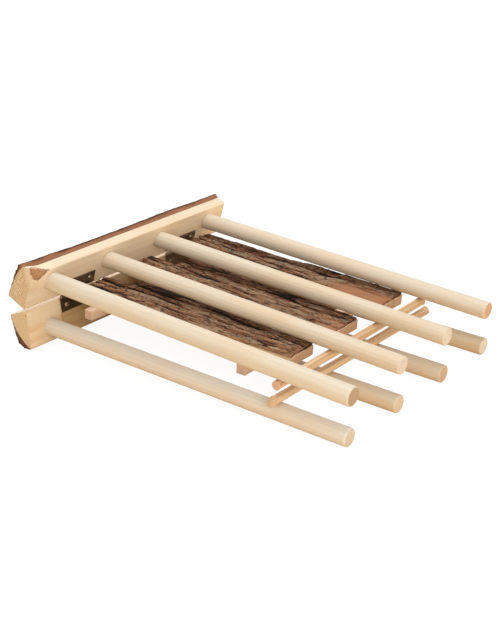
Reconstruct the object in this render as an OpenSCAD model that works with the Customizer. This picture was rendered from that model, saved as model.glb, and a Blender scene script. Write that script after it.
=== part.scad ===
// Folding hay rack for small pets, folded flat.
// Two racks, each a sawn log bar with four round bars in it, open on two small hinges.
// A loose panel of three bark slats on two battens lies between the racks.
// Every length is in millimetres and every angle in degrees.

/* [Round bars] */
// Diameter of a round bar
bar_d = 15; // [12:0.5:16]
// Diameter of the first upper bar, cut from thicker stock
first_bar_d = 16; // [13:0.5:18]
// Free length of a bar, from the hinge line to its tip
bar_reach = 304; // [270:1:340]
// Distance between neighbouring bars
bar_pitch = 69; // [62:0.5:76]
// Wood left behind the hole that a bar is glued into
bar_wall = 1.2; // [0.8:0.1:2]
// Rounded rim at the tip of a bar
tip_round = 1.6; // [0.6:0.1:2.5]
// Gap all round a bar in its glue hole
glue_gap = 0.05; // [0.02:0.01:0.1]

/* [Log bars] */
// Height of a log bar, from the hinge line to its bark crest
log_h = 37.8; // [36:0.2:42]
// Depth of a log bar, from the hinge line to its back edge
log_depth = 20.5; // [20:0.5:25]
// Length of the upper log bar
upper_log_len = 258; // [246:1:270]
// Length of the lower log bar
lower_log_len = 251; // [240:1:262]
// Upper log bar beyond the first bar
upper_log_over = 27; // [24:0.5:30]
// Lower log bar beyond the first bar
lower_log_over = 25; // [22:0.5:28]
// Thickness of the bark on the log bars
log_bark_t = 2.6; // [1.6:0.1:3.4]
// Height of the upper bars above the hinge line
upper_axis = 20; // [19:0.5:22]
// Depth of the lower bars below the hinge line
lower_axis = 22; // [20:0.5:23]
// Lean of the upper log bar's front face
upper_lean = 13; // [9:0.5:15]
// Lean of the lower log bar's front face
lower_lean = 8; // [5:0.5:11]
// Slope of the upper log bar's stop face
upper_stop_slope = 22; // [18:0.5:25]
// Slope of the lower log bar's stop face
lower_stop_slope = 23; // [19:0.5:26]
// Gap left between the stop faces when the racks are wide open
stop_gap = 0.4; // [0.3:0.1:1]
// Rise of the knot's collar at the upper log bar's near end
collar_rise = 9; // [0:0.5:11]
// Length of the knot's collar along the log bar
collar_len = 19; // [14:0.5:24]

/* [Hinges] */
// Length of a hinge along its pin
hinge_len = 40; // [34:1:44]
// Height of a hinge leaf, from the pin to its edge
leaf_h = 14; // [12:0.5:16]
// Thickness of a hinge leaf
leaf_t = 0.9; // [0.7:0.1:1.2]
// Diameter of a hinge knuckle
knuckle_d = 3.6; // [3.4:0.1:4.4]
// Diameter of a hinge pin
pin_d = 1.8; // [1.4:0.1:2]
// Gap all round a pin in its knuckles
pin_gap = 0.05; // [0.02:0.01:0.1]
// Gap between neighbouring knuckles, and from a knuckle to the logs
knuckle_gap = 0.35; // [0.3:0.05:0.5]
// Distance of a screw from the end of its leaf
screw_inset = 6; // [5:0.5:9]
// Height of the screws on a leaf, from the pin
screw_rise = 8.4; // [7.5:0.1:9.5]
// Diameter of a screw's shank
screw_d = 2.4; // [2:0.1:3]
// Diameter of a screw's head
screw_head_d = 4.6; // [4:0.1:5.2]
// Height of a screw's domed head
screw_head_h = 1.3; // [1:0.1:1.6]
// Length of a screw in the wood
screw_len = 10; // [7:0.5:12]

/* [Cross sticks] */
// Diameter of a cross stick
stick_d = 8; // [6:0.5:9]
// Distance of the cross sticks from the hinge line
stick_reach = 240; // [236:1:256]
// Upper cross stick beyond the first bar and beyond the last
upper_stick_over = [5, 3];
// Lower cross stick beyond the first bar and beyond the last
lower_stick_over = [9, 11.5];
// Slant of the lower cross stick's near end cut
stick_cut = 40; // [20:1:50]
// Diameter of the brads that hold the cross sticks
brad_d = 1.4; // [1:0.1:1.8]
// How far a brad goes into its bar
brad_bite = 5; // [3:0.5:6]

/* [Loose panel] */
// Width and height of a batten
batten = 8.5; // [7:0.5:10]
// Length of a batten
batten_len = 202; // [196:1:206]
// Batten's near end beyond the first bar, towards the middle
batten_start = 18; // [17:0.5:22]
// Distance of the inner batten from the hinge line
inner_batten_reach = 27.5; // [22:0.5:36]
// Distance of the outer batten from the hinge line
outer_batten_reach = 190; // [175:0.5:198]
// Height of a slat at its crest, bark included
slat_h = 11; // [9:0.2:12]
// Extra height of the three slats at their inner ends
slat_swell = [0.4, 3, 3];
// Thickness of the bark on a slat
slat_bark_t = 2.6; // [2.4:0.1:3.2]
// Depth of the deepest furrows in a slat's bark
furrow_depth = 1.8; // [0.8:0.1:2]
// Distance from the middle of a furrow to its edge
furrow_half = 2.4; // [1.5:0.1:3]
// Widths of the three slats past their necks
slat_w = [46, 53, 42];
// Widths of the three slats at their necks
slat_neck_w = [28, 29, 40];
// Widths of the three slats at their outer ends
slat_tip_w = [30, 37, 36];
// Length of the narrow necks at the slats' inner ends
slat_neck_len = 27; // [20:1:34]
// Lengths of the three slats
slat_len = [219, 219, 219];
// Distances of the three slats' inner ends from the hinge line
slat_start = [3, 2.6, 3];
// Places of the three slats' near edges along the log, from the first bar
slat_place = [37, 98, 172];
// Sideways run of the three slats' near edges
slat_run = [4, 2, 0];
// Travel of the loose panel along the bars
panel_play = 12; // [6:1:13]
// Diameter of a panel nail
nail_d = 1.6; // [1.2:0.1:2]
// How far a panel nail goes into its slat
nail_bite = 5; // [3:0.5:5.5]
// Gap under the panel, where it lies loose on the bars
rest_gap = 0.3; // [0.3:0.05:0.6]
// Least gap over the panel, when it has slid all the way out
play_gap = 0.1; // [0.1:0.05:0.4]
// Gap all round a brad, nail or screw in its hole
drive_gap = 0.04; // [0.02:0.01:0.08]

/* [Hidden] */
$fn = 64;
BARS = 4;
SLATS = 3;
bar_r = bar_d / 2;
first_bar_r = first_bar_d / 2;
knuckle_r = knuckle_d / 2;
stick_r = stick_d / 2;
row_len = (BARS - 1) * bar_pitch;

// The front faces stand this far behind the pin, so that no knuckle rubs on them.
face_back = knuckle_r + knuckle_gap;

// The panel lies on the lower bars and holds the upper rack up at the slats' outer ends.
panel_floor = -lower_axis + bar_r + rest_gap;
crest_z = panel_floor + batten + slat_h + play_gap;
crest_x = max([for (i = [0:SLATS - 1]) slat_start[i] + slat_len[i]]) + panel_play;
crest_far = norm([crest_x, crest_z]);
toe = asin((upper_axis - bar_r) / crest_far) - atan2(crest_z, crest_x);

// Opening angle at which the two stop faces meet, less their gap.
open_angle = upper_stop_slope + lower_stop_slope + toe;

// Shares of depth and height that give the round, bark side of each log bar.
UPPER_WOOD = [[0.14, 0.963], [0.34, 0.87], [0.52, 0.74], [0.69, 0.58], [0.84, 0.41], [0.94, 0.28]];
UPPER_BARK = [[0.31, 1], [0.46, 0.94], [0.62, 0.8], [0.76, 0.62], [0.89, 0.43], [0.975, 0.285]];
LOWER_WOOD = [[-0.1, 0.91], [0.19, 0.845], [0.53, 0.69], [0.74, 0.56], [0.88, 0.44], [0.97, 0.33]];
LOWER_BARK = [[-0.04, 0.94], [0.25, 0.976], [0.62, 0.905], [0.8, 0.69], [0.93, 0.49], [1.005, 0.335]];
FRONT_TOP = 0.868;
LOWER_FRONT_TOP = 0.92;

// The folded part rests on the lower log's bark and on the tips of the lower bars.
rest_mark = LOWER_BARK[1];
rest_x = -rest_mark.x * log_depth;
rest_z = -rest_mark.y * log_h;
tip_x = bar_reach - tip_round;
tip_z = -lower_axis - bar_r;
floor_tilt = atan2(tip_z - rest_z, tip_x - rest_x);
hinge_z = rest_x * sin(floor_tilt) - rest_z * cos(floor_tilt);

// The origin is under the middle of the folded part, which ends at the first bar's upper rim.
back_x = min([for (p = LOWER_BARK) low_turned(-p.x * log_depth, -p.y * log_h)]);
rim_z = upper_axis - bar_r + first_bar_d - tip_round;
far_x = tip_x * cos(floor_tilt + toe) + rim_z * sin(floor_tilt + toe) + tip_round;
hinge_x = -(back_x + far_x) / 2;
log_start = -upper_log_over;
hinge_y = -(log_start + upper_log_len / 2);

function low_turned(x, z) = x * cos(floor_tilt) + z * sin(floor_tilt);

wood = "burlywood";
pale_wood = "wheat";
bark = "saddlebrown";
bronze = "dimgray";

// ---- Places ----

// The lower rack's own frame: x runs along the bars, y along the log from the first
// bar, and the origin is on the hinge pin.
module on_lower_rack() {
    translate([hinge_x, hinge_y, hinge_z])
        rotate([0, floor_tilt, 0])
            children();
}

// The upper rack's frame turns about the pin by the toe-in.
module on_upper_rack() {
    on_lower_rack()
        rotate([0, toe, 0])
            children();
}

// A frame on a front face: x points out of the face, z along it away from the pin.
// side is 1 for the upper log bar and -1 for the lower one.
module on_face(side, lean) {
    mirror([0, 0, side < 0 ? 1 : 0])
        rotate([0, lean, 0])
            children();
}

module along_y(r, length) {
    rotate([-90, 0, 0])
        cylinder(r = r, h = length);
}

module along_x(r, length) {
    rotate([0, 90, 0])
        cylinder(r = r, h = length);
}

// ---- Lofted shapes ----

// Side faces between n rings of m points, split into triangles, and two flat ends.
// Bark is split the other way from wood, so that the two meet without a step.
function loft_faces(n, m, is_bark) = concat(
    [for (i = [0:n - 2], j = [0:m - 1])
        let(a = i * m + j, b = i * m + (j + 1) % m, c = b + m, d = a + m)
        is_bark ? [a, b, d] : [a, b, c]],
    [for (i = [0:n - 2], j = [0:m - 1])
        let(a = i * m + j, b = i * m + (j + 1) % m, c = b + m, d = a + m)
        is_bark ? [b, c, d] : [a, c, d]],
    [[for (j = [m - 1:-1:0]) j]],
    [[for (j = [0:m - 1]) (n - 1) * m + j]]
);

module loft(rings, is_bark) {
    n = len(rings);
    m = len(rings[0]);
    points = [for (ring = rings) each ring];
    polyhedron(points, loft_faces(n, m, is_bark), convexity = 4);
}

function smooth(t) = let(c = min(1, max(0, t))) c * c * (3 - 2 * c);

// A slow wander that gives wood its uneven edges.
function wander(t, seed) = 0.6 * sin(31 * t + 57 * seed) + 0.4 * sin(83 * t + 131 * seed);

// ---- Log bars ----

// A point of the front face at a height above the pin.
function face_point(lean, w) = [-face_back / cos(lean) + w * tan(lean), w];

// Height of the stop face at a distance behind the pin.
function stop_height(slope, back) = stop_gap / 2 / cos(slope) + back * tan(slope);

// Where the front face meets the stop face.
function front_corner(lean, slope) =
    let(w = (stop_height(slope, face_back / cos(lean))) / (1 + tan(slope) * tan(lean)))
    face_point(lean, w);

function bark_side(shares) = [for (p = shares) [-p.x * log_depth, p.y * log_h]];

// Share of the knot's collar at a distance from the near end.
function collar(y) = 1 - smooth(y / collar_len);

function upper_front(y) =
    let(c = collar(y) * collar_rise)
    [
        front_corner(upper_lean, upper_stop_slope),
        face_point(upper_lean, 0.4 * log_h),
        face_point(upper_lean, 0.66 * log_h) + [0.35 * c, 0],
        face_point(upper_lean, FRONT_TOP * log_h) + [0.72 * c, 0.95 * c]
    ];

function lower_front() = [
    front_corner(lower_lean, lower_stop_slope),
    face_point(lower_lean, 0.4 * log_h),
    face_point(lower_lean, 0.66 * log_h),
    face_point(lower_lean, LOWER_FRONT_TOP * log_h)
];

// The bark side lifts a little with the collar.
function lifted(points, y) =
    let(c = collar(y) * collar_rise)
    [for (i = [0:len(points) - 1]) points[i] + [0, 0.3 * c * (1 - i / (len(points) - 1))]];

// The back bottom corner stands on the stop face.
function back_corner(slope, back) = [-back, stop_height(slope, back)];

function upper_wood_ring(y) = concat(
    upper_front(y),
    lifted(bark_side(UPPER_WOOD), y),
    [back_corner(upper_stop_slope, 0.965 * log_depth)]
);

function lower_wood_ring() = concat(
    lower_front(),
    bark_side(LOWER_WOOD),
    [back_corner(lower_stop_slope, log_depth)]
);

// Bark follows the wood on its inner side and wanders on its outer side.
function bark_ring(inner, outer, last, y, seed) =
    let(
        n = len(outer),
        grown = [for (i = [0:n - 1])
            let(out = outer[i] - inner[i])
            inner[i] + out * (log_bark_t / 2.6) * (1 - 0.12 * (1 + wander(y / 9 + 3 * i, seed)) * (i % 2))]
    )
    concat(grown, [last], [for (i = [n - 1:-1:0]) inner[i]]);

function log_stations(length) = concat(
    [for (i = [0:4]) collar_len * i / 4],
    [for (i = [1:9]) collar_len + (length - collar_len) * i / 9]
);

// Rings of [x, z] points are set on edge and stood at their place along the log.
function stood(ring, y, side) =
    side > 0 ? [for (p = ring) [p.x, y, p.y]] : [for (i = [len(ring) - 1:-1:0]) [ring[i].x, y, -ring[i].y]];

// The first upper bar is thicker, and its underside is level with the others.
function bar_radius(i, side) = side > 0 && i == 0 ? first_bar_r : bar_r;
function bar_height(i, side) = side > 0 ? upper_axis + bar_radius(i, side) - bar_r : lower_axis;

// Depth of the wood behind the pin at a height, and where a bar's hole ends in it.
function wood_depth(shares, z) = lookup(z, [for (p = shares) [p.y * log_h, p.x * log_depth]]);
function bar_root(i, side) =
    bar_wall - wood_depth(side > 0 ? UPPER_WOOD : LOWER_WOOD, bar_height(i, side) + bar_radius(i, side));

module bar_holes(side) {
    for (i = [0:BARS - 1])
        translate([bar_root(i, side), i * bar_pitch, side * bar_height(i, side)])
            along_x(bar_radius(i, side) + glue_gap, log_depth * 2);
}

module screw_holes(side, lean) {
    at_screws(side, lean)
        translate([0, 0, -screw_len - drive_gap])
            cylinder(r = screw_d / 2 + drive_gap, h = screw_len + 2 * face_back);
}

module upper_log() {
    color(wood)
    on_upper_rack()
    difference() {
        loft([for (y = log_stations(upper_log_len)) stood(upper_wood_ring(y), y - upper_log_over, 1)], false);
        bar_holes(1);
        screw_holes(1, upper_lean);
    }
}

module upper_log_bark() {
    color(bark)
    on_upper_rack()
    loft([for (y = log_stations(upper_log_len))
        stood(bark_ring(
            lifted(bark_side(UPPER_WOOD), y),
            lifted(bark_side(UPPER_BARK), y),
            back_corner(upper_stop_slope, 0.965 * log_depth), y, 1), y - upper_log_over, 1)], true);
}

module lower_log() {
    color(wood)
    on_lower_rack()
    difference() {
        loft([for (y = log_stations(lower_log_len)) stood(lower_wood_ring(), y - lower_log_over, -1)], false);
        bar_holes(-1);
        screw_holes(-1, lower_lean);
    }
}

module lower_log_bark() {
    color(bark)
    on_lower_rack()
    loft([for (y = log_stations(lower_log_len))
        stood(bark_ring(
            bark_side(LOWER_WOOD),
            bark_side(LOWER_BARK),
            back_corner(lower_stop_slope, log_depth), y, 2), y - lower_log_over, -1)], true);
}

// ---- Round bars ----

// A bar with a rounded tip, holed for the brad of its cross stick.
module bar(radius, length, brad_at, brad_side) {
    rotate([0, 90, 0])
    difference() {
        rotate_extrude()
            bar_profile(radius, length);
        translate([-brad_side * radius, 0, brad_at])
            rotate([0, brad_side * 90, 0])
                cylinder(r = brad_d / 2 + drive_gap, h = brad_bite + drive_gap);
    }
}

module bar_profile(radius, length) {
    intersection() {
        square([radius, length]);
        union() {
            square([radius, length - tip_round]);
            translate([radius - tip_round, length - tip_round])
                circle(r = tip_round);
            square([radius - tip_round, length]);
        }
    }
}

module upper_bar(i) {
    root = bar_root(i, 1);
    color(pale_wood)
    on_upper_rack()
        translate([root, i * bar_pitch, bar_height(i, 1)])
            bar(bar_radius(i, 1), bar_reach - root, stick_reach - root, -1);
}

module lower_bar(i) {
    root = bar_root(i, -1);
    color(pale_wood)
    on_lower_rack()
        translate([root, i * bar_pitch, -bar_height(i, -1)])
            bar(bar_radius(i, -1), bar_reach - root, stick_reach - root, 1);
}

// ---- Cross sticks ----

// The sticks touch the bars but for a hair.
stick_gap = 0.1;
brad_sink = 0.2;
upper_stick_z = upper_axis - bar_r - stick_r - stick_gap;
lower_stick_z = -lower_axis + bar_r + stick_r + stick_gap;

module brad_holes(z, side) {
    for (i = [0:BARS - 1])
        translate([stick_reach, i * bar_pitch, z - side * stick_d])
            mirror([0, 0, side < 0 ? 1 : 0])
                cylinder(r = brad_d / 2 + drive_gap, h = 2 * stick_d);
}

module upper_cross_stick() {
    over = upper_stick_over;
    color(wood)
    on_upper_rack()
    difference() {
        translate([stick_reach, -over[0], upper_stick_z])
            along_y(stick_r, row_len + over[0] + over[1]);
        brad_holes(upper_stick_z, 1);
    }
}

module lower_cross_stick() {
    over = lower_stick_over;
    color(wood)
    on_lower_rack()
    difference() {
        translate([stick_reach, -over[0], lower_stick_z])
            along_y(stick_r, row_len + over[0] + over[1]);
        brad_holes(lower_stick_z, -1);
        translate([stick_reach, -over[0], lower_stick_z])
            rotate([-stick_cut, 0, 0])
                translate([-stick_d, -2 * stick_d, -2 * stick_d])
                    cube([2 * stick_d, 2 * stick_d, 4 * stick_d]);
    }
}

// Brads start flush with the stick's free side and end inside the bar.
module brads(z, side) {
    for (i = [0:BARS - 1])
        translate([stick_reach, i * bar_pitch, z - side * stick_r])
            mirror([0, 0, side < 0 ? 1 : 0])
                translate([0, 0, brad_sink])
                    cylinder(r = brad_d / 2, h = stick_d + stick_gap + brad_bite - brad_sink);
}

module upper_stick_brads() {
    color("silver")
    on_upper_rack()
        brads(upper_stick_z, 1);
}

module lower_stick_brads() {
    color("silver")
    on_lower_rack()
        brads(lower_stick_z, -1);
}

// ---- Hinges ----

hinge_mid = [0.5 * bar_pitch, 2.5 * bar_pitch];
knuckle_share = hinge_len / 3;
leaf_foot = 1.1;

// A leaf's knuckles: one in the middle for the upper leaf, two at the ends for the lower.
function knuckle_starts(side) = side > 0 ? [-knuckle_share / 2] : [-hinge_len / 2, knuckle_share / 2];
function notch_starts(side) = knuckle_starts(-side);

module at_screws(side, lean) {
    for (mid = hinge_mid, end = [-1, 1])
        translate([0, mid + end * (hinge_len / 2 - screw_inset), 0])
            on_face(side, lean)
                translate([-face_back, 0, screw_rise])
                    rotate([0, 90, 0])
                        children();
}

// Section of a leaf across the pin: the rolled knuckle, its foot and the flat plate.
module knuckle_section() {
    circle(r = knuckle_r);
    translate([-face_back, leaf_foot])
        square([face_back, knuckle_r - leaf_foot]);
}

module leaf(side, lean) {
    half = knuckle_gap / 2;
    on_face(side, lean)
    difference() {
        union() {
            translate([-face_back, -hinge_len / 2, leaf_foot])
                cube([leaf_t, hinge_len, leaf_h - leaf_foot]);
            for (start = knuckle_starts(side))
                translate([0, start + knuckle_share - half, 0])
                    rotate([90, 0, 0])
                        linear_extrude(knuckle_share - 2 * half)
                            knuckle_section();
        }
        for (start = notch_starts(side))
            translate([-2 * face_back, start - half, -1])
                cube([4 * face_back, knuckle_share + 2 * half, 1 + knuckle_r + 2 * knuckle_gap]);
        translate([0, -hinge_len, 0])
            along_y(pin_d / 2 + pin_gap, 2 * hinge_len);
        for (end = [-1, 1])
            translate([-2 * face_back, end * (hinge_len / 2 - screw_inset), screw_rise])
                along_x(screw_d / 2 + drive_gap, 2 * face_back);
    }
}

module upper_hinge_leaf(i) {
    color(bronze)
    on_upper_rack()
        translate([0, hinge_mid[i], 0])
            leaf(1, upper_lean);
}

module lower_hinge_leaf(i) {
    color(bronze)
    on_lower_rack()
        translate([0, hinge_mid[i], 0])
            leaf(-1, lower_lean);
}

// The pin has a small head at each end, spread over the outer knuckles.
pin_head_t = 0.6;

module hinge_pin(i) {
    color(bronze)
    on_lower_rack()
        translate([0, hinge_mid[i] - hinge_len / 2 - pin_head_t, 0])
            rotate([-90, 0, 0])
                rotate_extrude()
                    union() {
                        square([pin_d / 2, hinge_len + 2 * pin_head_t]);
                        square([knuckle_r - 0.4, pin_head_t]);
                        translate([0, hinge_len + pin_head_t])
                            square([knuckle_r - 0.4, pin_head_t]);
                    }
}

// A domed screw stands on its leaf.
module screw() {
    dome_r = (pow(screw_head_d / 2, 2) + pow(screw_head_h, 2)) / (2 * screw_head_h);
    rotate_extrude()
        union() {
            translate([0, -screw_len])
                square([screw_d / 2, screw_len + leaf_t + screw_head_h / 2]);
            translate([0, leaf_t])
                intersection() {
                    translate([0, screw_head_h - dome_r])
                        circle(r = dome_r);
                    square([screw_head_d / 2, screw_head_h]);
                }
        }
}

module upper_hinge_screws() {
    color(bronze)
    on_upper_rack()
        at_screws(1, upper_lean)
            screw();
}

module lower_hinge_screws() {
    color(bronze)
    on_lower_rack()
        at_screws(-1, lower_lean)
            screw();
}

// ---- Loose panel ----

SLAT_STATIONS = 20;
FURROWS = 3;
slat_z = panel_floor + batten;

// A slat's back is nearly flat and rounds off at both edges; s runs across it from 0 to 1.
function slat_arch(s) = 1 - 0.3 * pow(abs(2 * s - 1), 8);

// A slat is highest at its inner end, and wavers along its length.
function slat_top(i, s, x) =
    let(t = x / slat_len[i])
    (slat_h + slat_swell[i] * pow(1 - t, 3)) * slat_arch(s) * (1 - 0.035 * (1 + wander(6 * t + 5 * s, i + 3)));

// A slat's far edge steps out past its neck and then draws in to the outer end.
function slat_width(i, x) =
    let(
        out = smooth((x - slat_neck_len) / (0.25 * slat_neck_len)),
        in = (x - slat_neck_len) / (slat_len[i] - slat_neck_len)
    )
    slat_neck_w[i] * (1 - out) + (slat_w[i] + (slat_tip_w[i] - slat_w[i]) * in) * out;

function slat_side(i, s, x) =
    let(w = slat_width(i, x), near = slat_run[i] * x / slat_len[i])
    near + w * s + 0.02 * w * (s - 0.5) * wander(0.05 * x, i + (s < 0.5 ? 1 : 8));

// The wood stops short of the top by the bark.
function wood_top(i, s, x) = slat_top(i, s, x) - slat_bark_t;

// Furrow k wanders across its slat, and is deeper in some places than in others.
function furrow_mid(i, k, x) = k / (FURROWS + 1) + 0.05 * wander(x / 14, 7 * i + 3 * k);
function furrow_fall(i, k, x) = furrow_depth * (0.62 + 0.38 * wander(x / 9, 5 * i + 2 * k));

// Points across a slat, each a share of its width and a fall below the bark's top:
// the two edges, both edges and the middle of each furrow, and the crests between.
function slat_points(i, x) =
    let(half = furrow_half / slat_width(i, x))
    concat(
        [[0, 0], [0.5 * (furrow_mid(i, 1, x) - half), 0]],
        [for (k = [1:FURROWS])
            let(mid = furrow_mid(i, k, x), next = k < FURROWS ? furrow_mid(i, k + 1, x) : 1 + half)
            each [[mid - half, 0], [mid, furrow_fall(i, k, x)], [mid + half, 0], [0.5 * (mid + next), 0]]],
        [[1, 0]]
    );

function slat_wood_ring(i, x) = concat(
    [[slat_side(i, 1, x), 0], [slat_side(i, 0, x), 0]],
    [for (p = slat_points(i, x)) [slat_side(i, p[0], x), wood_top(i, p[0], x)]]
);

function slat_bark_ring(i, x) =
    let(points = slat_points(i, x))
    concat(
        [for (k = [len(points) - 1:-1:0])
            [slat_side(i, points[k][0], x), wood_top(i, points[k][0], x)]],
        [for (p = points) [slat_side(i, p[0], x), slat_top(i, p[0], x) - p[1]]]
    );

// Stations along a slat: its neck, the step past it and the long rest.
function slat_stations(i) = concat(
    [0, 0.5 * slat_neck_len],
    [for (k = [0:4]) slat_neck_len * (1 + k / 16)],
    [for (k = [1:SLAT_STATIONS - 4])
        1.25 * slat_neck_len + (slat_len[i] - 1.25 * slat_neck_len) * k / (SLAT_STATIONS - 4)]
);

function set_out(ring, x) = [for (p = ring) [x, p.x, p.y]];

module at_slat(i) {
    on_lower_rack()
        translate([slat_start[i], slat_place[i], slat_z])
            children();
}

// Nails are driven from below, one where each batten crosses each slat, and sunk a little.
nail_sink = 0.3;

module nail_places() {
    for (i = [0:SLATS - 1], reach = [inner_batten_reach, outer_batten_reach])
        translate([reach, slat_place[i] + slat_neck_w[i] / 2, panel_floor])
            children();
}

module nail_holes() {
    nail_places()
        translate([0, 0, -batten])
            cylinder(r = nail_d / 2 + drive_gap, h = 2 * batten + nail_bite + drive_gap);
}

module slat(i) {
    color(pale_wood)
    difference() {
        at_slat(i)
            loft([for (x = slat_stations(i)) set_out(slat_wood_ring(i, x), x)], false);
        on_lower_rack()
            nail_holes();
    }
}

module slat_bark(i) {
    color(bark)
        at_slat(i)
            loft([for (x = slat_stations(i)) set_out(slat_bark_ring(i, x), x)], true);
}

module panel_batten(reach) {
    color(pale_wood)
    on_lower_rack()
    difference() {
        translate([reach - batten / 2, batten_start, panel_floor])
            cube([batten, batten_len, batten]);
        nail_holes();
    }
}

module panel_nails() {
    color("silver")
    on_lower_rack()
        nail_places()
            translate([0, 0, nail_sink])
                cylinder(r = nail_d / 2, h = batten + nail_bite - nail_sink);
}

upper_log();
upper_log_bark();
lower_log();
lower_log_bark();
upper_bar(0);  // upper_bar_1
upper_bar(1);  // upper_bar_2
upper_bar(2);  // upper_bar_3
upper_bar(3);  // upper_bar_4
lower_bar(0);  // lower_bar_1
lower_bar(1);  // lower_bar_2
lower_bar(2);  // lower_bar_3
lower_bar(3);  // lower_bar_4
upper_cross_stick();
lower_cross_stick();
upper_stick_brads();
lower_stick_brads();
upper_hinge_leaf(0);  // upper_hinge_leaf_1
upper_hinge_leaf(1);  // upper_hinge_leaf_2
lower_hinge_leaf(0);  // lower_hinge_leaf_1
lower_hinge_leaf(1);  // lower_hinge_leaf_2
hinge_pin(0);  // hinge_pin_1
hinge_pin(1);  // hinge_pin_2
upper_hinge_screws();
lower_hinge_screws();
slat(0);  // slat_1
slat(1);  // slat_2
slat(2);  // slat_3
slat_bark(0);  // slat_bark_1
slat_bark(1);  // slat_bark_2
slat_bark(2);  // slat_bark_3
panel_batten(inner_batten_reach);  // inner_batten
panel_batten(outer_batten_reach);  // outer_batten
panel_nails();
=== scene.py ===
"""Folding hay rack for small pets, folded flat, with its loose bark shelf stowed inside."""

import itertools
import math

import bmesh
import bpy
import numpy as np
from mathutils import Matrix, Vector


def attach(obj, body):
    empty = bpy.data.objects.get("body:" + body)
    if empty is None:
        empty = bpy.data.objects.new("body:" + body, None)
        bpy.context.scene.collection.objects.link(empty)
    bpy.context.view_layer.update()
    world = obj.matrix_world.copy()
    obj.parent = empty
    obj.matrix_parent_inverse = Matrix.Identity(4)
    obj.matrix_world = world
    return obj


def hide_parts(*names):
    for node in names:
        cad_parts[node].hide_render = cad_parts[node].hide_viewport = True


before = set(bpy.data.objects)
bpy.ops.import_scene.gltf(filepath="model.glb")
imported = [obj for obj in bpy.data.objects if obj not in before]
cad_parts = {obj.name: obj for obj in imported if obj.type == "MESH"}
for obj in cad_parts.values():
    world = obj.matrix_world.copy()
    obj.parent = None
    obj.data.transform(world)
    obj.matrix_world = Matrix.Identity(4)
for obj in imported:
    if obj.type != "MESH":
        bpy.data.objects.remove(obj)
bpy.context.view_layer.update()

MM = 0.001

# ---- The racks' own frames, as in the part's source ----

HINGE = Vector((-142.057, -102.0, 36.759)) * MM
FLOOR_TILT = math.radians(1.37711)
TOE = math.radians(1.73934)
LOWER_RACK = Matrix.Translation(HINGE) @ Matrix.Rotation(FLOOR_TILT, 4, "Y")
UPPER_RACK = Matrix.Translation(HINGE) @ Matrix.Rotation(FLOOR_TILT + TOE, 4, "Y")

# Side 1 is the upper rack, and side -1 the lower one, which is drawn mirrored in z
RACK = {1: UPPER_RACK, -1: LOWER_RACK}
BODY = {1: "upper_rack", -1: "lower_rack"}

# ---- Sizes in millimetres, and angles ----

LOG_H, LOG_DEPTH = 37.8, 20.5
UPPER_BACK_DEPTH = 0.965 * LOG_DEPTH
LOG_PITH_X, LOG_PITH_Z = 29.0, -2.0   # the trunk's pith, in front of the sawn face
UPPER_LOG_LEN, UPPER_LOG_OVER = 258.0, 27.0
LOWER_LOG_LEN, LOWER_LOG_OVER = 251.0, 25.0
COLLAR_RISE, COLLAR_LEN = 9.0, 19.0
FACE_BACK = 2.15                      # the logs' fronts pass this far behind the hinge line
STOP_GAP = 0.4                        # between the stop faces of the opened rack
BAR_PITCH, BAR_REACH = 69.0, 304.0
BAR_R, FIRST_BAR_R = 7.5, 8.0
GLUE_GAP = 0.05
ROOT_WOOD = 1.2                       # wood left between a bar's root and the log's bark side
UPPER_AXIS, LOWER_AXIS = 20.0, 22.0
TIP_ROUND = 1.6
TIP_WEAR = (1.0, 0.8, 0.7, 0.9)       # share of that rounding on each bar
STICK_R, STICK_REACH = 4.0, 240.0
UPPER_STICK_Z, LOWER_STICK_Z = 8.4, -10.4
STICK_CUT = math.radians(50)          # slope of the lower stick's near end
BATTEN, BATTEN_EDGE = 8.5, 0.45
BATTEN_START, BATTEN_LEN = 18.0, 202.0
BATTEN_REACH = {"inner_batten": 27.5, "outer_batten": 190.0}
PANEL_FLOOR, SLAT_Z = -14.2, -5.7
SLAT_LEN, SLAT_NECK_LEN, SLAT_H = 219.0, 27.0, 11.0
SLAT_BARK_T = 2.6
SLAT_SWELL = (0.4, 3.0, 3.0)
SLAT_W, SLAT_NECK_W, SLAT_TIP_W = (46.0, 53.0, 42.0), (28.0, 29.0, 40.0), (30.0, 37.0, 36.0)
SLAT_START, SLAT_PLACE, SLAT_RUN = (3.0, 2.6, 3.0), (37.0, 98.0, 172.0), (4.0, 2.0, 0.0)
SCREW_RISE, SCREW_INSET, HINGE_LEN, LEAF_T = 8.4, 6.0, 40.0, 0.9
SCREW_HEAD_R, SCREW_HEAD_H, SCREW_R, SCREW_LEN = 2.3, 1.3, 1.2, 10.0
SLOT_HALF, SLOT_REACH, SLOT_DEEP = 0.42, 1.45, 0.75
SCREW_SPIN = (0.3, 1.1, 0.7, 0.1)     # how far each screw was turned, in radians
UPPER_LEAN, LOWER_LEAN = math.radians(13), math.radians(8)
UPPER_STOP, LOWER_STOP = math.radians(22), math.radians(23)
ROUND = 64                            # facets round a bar, a stick or a bore
WOOD_EDGE, SCREW_EDGE, BARK_EDGE = 32, 40, 60    # degrees past which an edge stays sharp

# Outlines of the logs' bark sides, from the crest down to the stop face: shares of depth and height
UPPER_WOOD = ((0.14, 0.963), (0.34, 0.87), (0.52, 0.74), (0.69, 0.58), (0.84, 0.41), (0.94, 0.28))
UPPER_BARK = ((0.31, 1.0), (0.46, 0.94), (0.62, 0.8), (0.76, 0.62), (0.89, 0.43), (0.975, 0.285))
LOWER_WOOD = ((-0.1, 0.91), (0.19, 0.845), (0.53, 0.69), (0.74, 0.56), (0.88, 0.44), (0.97, 0.33))
LOWER_BARK = ((-0.04, 0.94), (0.25, 0.976), (0.62, 0.905), (0.8, 0.69), (0.93, 0.49), (1.005, 0.335))

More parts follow.
